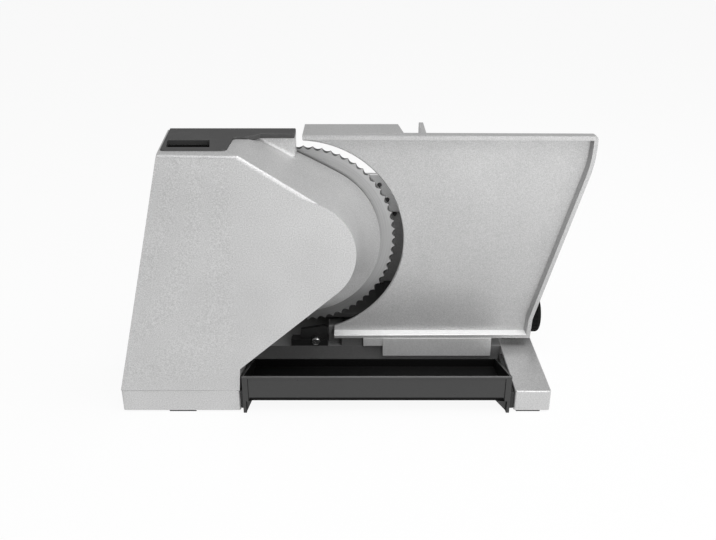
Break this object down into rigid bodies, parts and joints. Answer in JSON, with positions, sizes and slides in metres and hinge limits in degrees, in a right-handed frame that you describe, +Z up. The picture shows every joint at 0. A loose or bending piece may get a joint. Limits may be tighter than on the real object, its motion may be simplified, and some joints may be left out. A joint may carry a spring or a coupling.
{
  "type": "food slicer",
  "caption": "Household food slicer: sculpted silver motor housing, round wavy-edged blade, sliding stop plate with dial, food carriage and pull-out tray.",
  "frame": {"origin": "on the table under the middle of the overall box", "axes": "+X along the stop plate away from the motor housing, -Y towards the side where slices fall, +Z up"},
  "size_m": [0.3987, 0.224, 0.226],
  "materials": {
    "silver_lacquer": "fine-grained silver lacquer",
    "black_plastic": "satin",
    "dark_plastic": "satin",
    "blade_steel": "ground",
    "plain_steel": "bright",
    "gear_plastic": "moulded",
    "bush_bronze": "turned",
    "core_iron": "plain",
    "rail_aluminium": "anodised",
    "silver_plastic": "satin",
    "foot_rubber": "matte"
  },
  "bodies": {
    "frame": {"motor_housing": "silver_lacquer", "rear_plate": "silver_lacquer", "gearbox_plate": "plain_steel", "top_panel": "black_plastic", "switch_block": "black_plastic", "base_pan": "silver_lacquer", "bottom_cover": "dark_plastic", "cross_beam": "dark_plastic", "right_foot": "silver_lacquer", "rubber_feet": "foot_rubber", "cable_gland": "black_plastic", "blade_axle": "plain_steel", "idler_axle": "plain_steel", "motor_case": "plain_steel", "motor_magnets": "core_iron", "rod_bushes": "bush_bronze", "knob_post": "black_plastic", "lower_guard": "black_plastic", "guard_screw": "plain_steel", "guide_block": "dark_plastic", "tray_rails": "black_plastic", "carriage_rail": "rail_aluminium", "rail_screws": "plain_steel", "gearbox_screws": "plain_steel", "rear_screws": "plain_steel", "cover_screws": "plain_steel", "frame_screws": "plain_steel"},
    "blade": {"blade": "blade_steel", "blade_gear": "gear_plastic", "blade_bush": "bush_bronze"},
    "blade_lock": {"blade_lock": "dark_plastic"},
    "idler": {"idler_gear": "gear_plastic"},
    "armature": {"armature": "core_iron", "motor_shaft": "plain_steel", "motor_pinion": "gear_plastic"},
    "stop_plate": {"stop_plate": "silver_lacquer", "plate_carrier": "silver_lacquer", "guide_rods": "plain_steel", "plate_screws": "plain_steel", "rack_bar": "plain_steel", "rack_screws": "plain_steel"},
    "knob": {"thickness_knob": "black_plastic", "knob_spindle": "black_plastic"},
    "carriage": {"carriage": "black_plastic", "carriage_slider": "dark_plastic", "slider_screws": "plain_steel", "thumb_guard": "silver_plastic", "guard_screws": "plain_steel"},
    "holder": {"holder_body": "silver_plastic", "holder_face": "silver_plastic", "holder_spikes": "black_plastic"},
    "tray": {"collection_tray": "black_plastic"},
    "switch": {"switch_button": "black_plastic"}
  },
  "joints": [
    {"name": "blade_spin", "type": "hinge", "parent": "frame", "child": "blade", "pos_m": [-0.05, -0.026, 0.1268], "axis": [0, 1, 0], "continuous": true},
    {"name": "blade_lock_turn", "type": "hinge", "parent": "blade", "child": "blade_lock", "pos_m": [-0.05, -0.026, 0.1268], "axis": [0, 1, 0], "range_deg": [0, 90]},
    {"name": "idler_spin", "type": "hinge", "parent": "frame", "child": "idler", "pos_m": [-0.1055, -0.05, 0.1268], "axis": [0, 1, 0], "continuous": true},
    {"name": "motor_spin", "type": "hinge", "parent": "frame", "child": "armature", "pos_m": [-0.1355, -0.08, 0.1268], "axis": [0, 1, 0], "continuous": true},
    {"name": "plate_slide", "type": "slide", "parent": "frame", "child": "stop_plate", "axis": [0, -1, 0], "range_m": [0, 0.02]},
    {"name": "knob_turn", "type": "hinge", "parent": "frame", "child": "knob", "pos_m": [0.16, -0.004, 0.04], "axis": [1, 0, 0], "range_deg": [0, 163.7]},
    {"name": "carriage_slide", "type": "slide", "parent": "frame", "child": "carriage", "axis": [1, 0, 0], "range_m": [-0.1, 0.055]},
    {"name": "holder_slide", "type": "slide", "parent": "carriage", "child": "holder", "axis": [0, 1, 0], "range_m": [-0.055, 0.02]},
    {"name": "tray_slide", "type": "slide", "parent": "frame", "child": "tray", "axis": [0, -1, 0], "range_m": [0, 0.09]},
    {"name": "key_press", "type": "slide", "parent": "frame", "child": "switch", "axis": [0, 0, -1], "range_m": [0, 0.0025], "stiffness_N_per_m": 400, "springref_m": -0.0005}
  ],
  "couplings": [
    {"joint": "idler_spin", "follows": "blade_spin", "ratio": -4.2857},
    {"joint": "motor_spin", "follows": "blade_spin", "ratio": 14.082},
    {"joint": "knob_turn", "follows": "plate_slide", "rad_per_m": 142.86}
  ]
}
